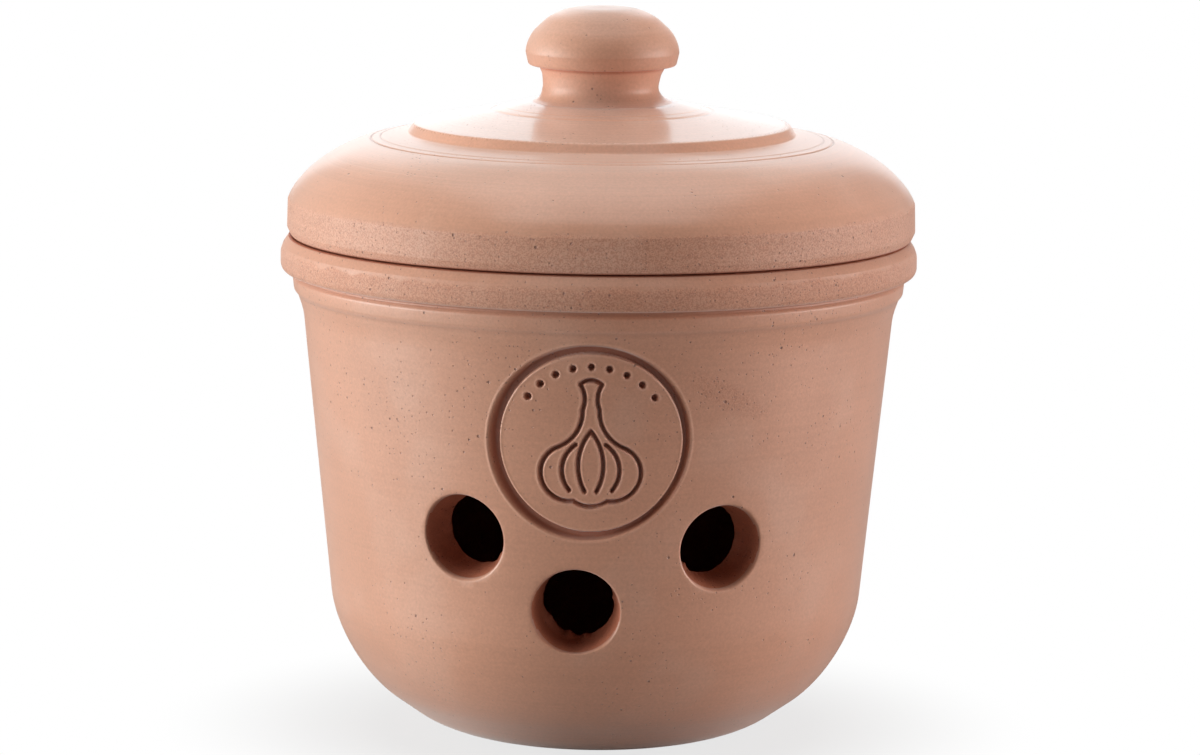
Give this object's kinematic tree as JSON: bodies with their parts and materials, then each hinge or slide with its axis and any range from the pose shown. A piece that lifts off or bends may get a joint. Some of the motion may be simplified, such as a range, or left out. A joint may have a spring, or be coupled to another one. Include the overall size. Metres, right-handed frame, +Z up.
{
  "type": "garlic keeper",
  "caption": "Round terracotta garlic keeper: a pot with vent holes and a pressed roundel in front, a domed lift-off lid, and a rounded knob.",
  "frame": {"origin": "centre of the pot's flat foot, on the surface it stands on", "axes": "+Z up along the turned axis, -Y towards the front with the vents and roundel, +X to the viewer's right from the front"},
  "size_m": [0.14, 0.14, 0.16],
  "materials": {
    "terracotta": "unglazed fired clay, smooth and faintly satin where it was turned, matte and pitted on the bands"
  },
  "bodies": {
    "pot": {"pot": "terracotta"},
    "lid": {"lid": "terracotta", "knob": "terracotta"}
  },
  "joints": [
    {"name": "lid_lift", "type": "slide", "parent": "pot", "child": "lid", "axis": [0, 0, 1], "range_m": [0, 0.1]}
  ]
}
